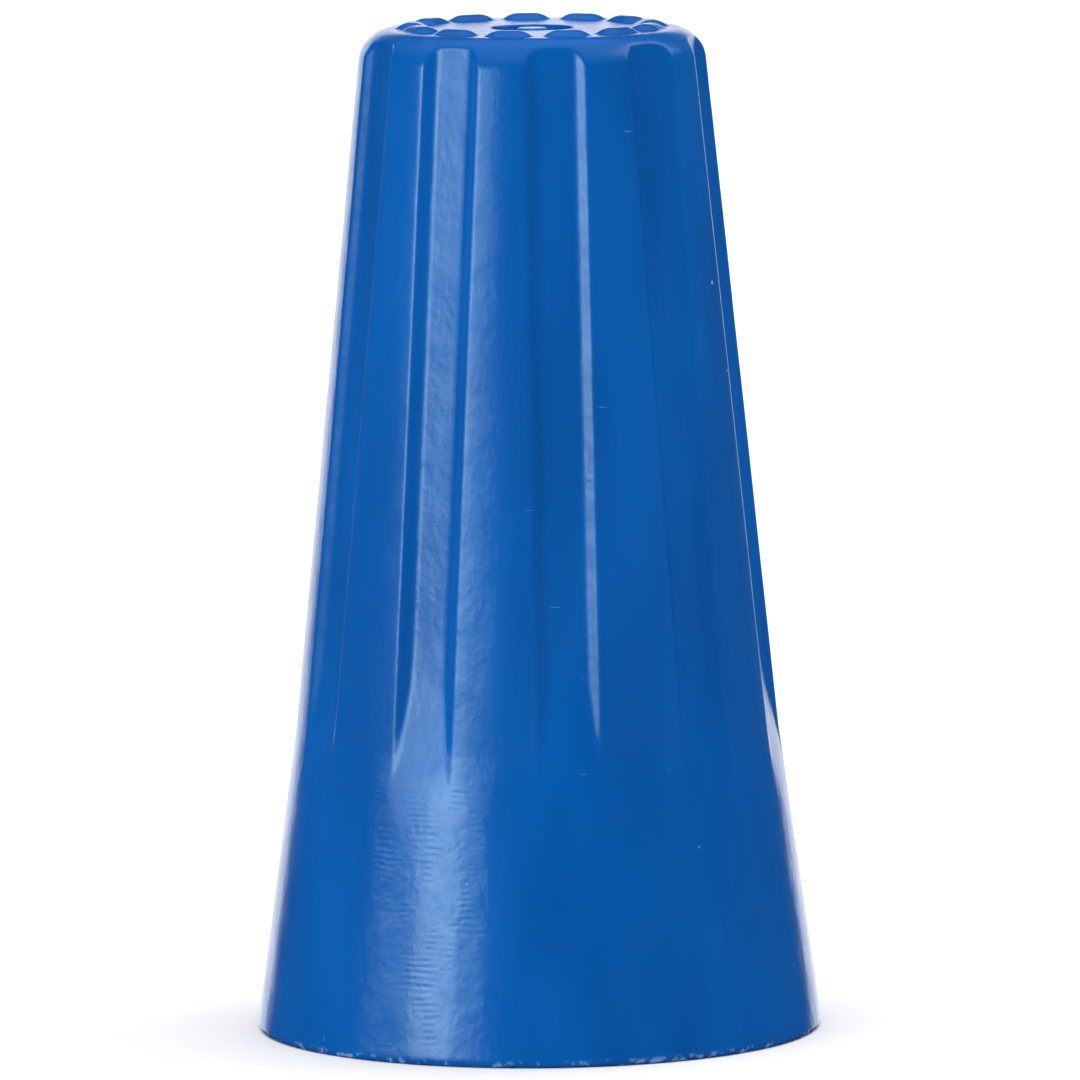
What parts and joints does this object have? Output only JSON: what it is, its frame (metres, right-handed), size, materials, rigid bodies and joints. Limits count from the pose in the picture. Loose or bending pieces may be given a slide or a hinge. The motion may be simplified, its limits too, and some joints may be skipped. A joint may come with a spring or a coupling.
{
  "type": "twist wire connector",
  "caption": "Twist-on wire connector: a fluted, flared plastic shell with a closed crown and a tapered square-wire spring inside that threads onto twisted conductors.",
  "frame": {"origin": "centre of the open mouth, on the plane of the rim", "axes": "+Z along the shell's axis from the mouth to the closed crown; -Y faces the viewer"},
  "size_m": [0.0102, 0.0102, 0.0181],
  "materials": {
    "shell": "satin-gloss moulded polypropylene, blue",
    "spring": "zinc-plated drawn square wire"
  },
  "bodies": {
    "root": {"shell": "shell", "spring": "spring"}
  },
  "joints": []
}
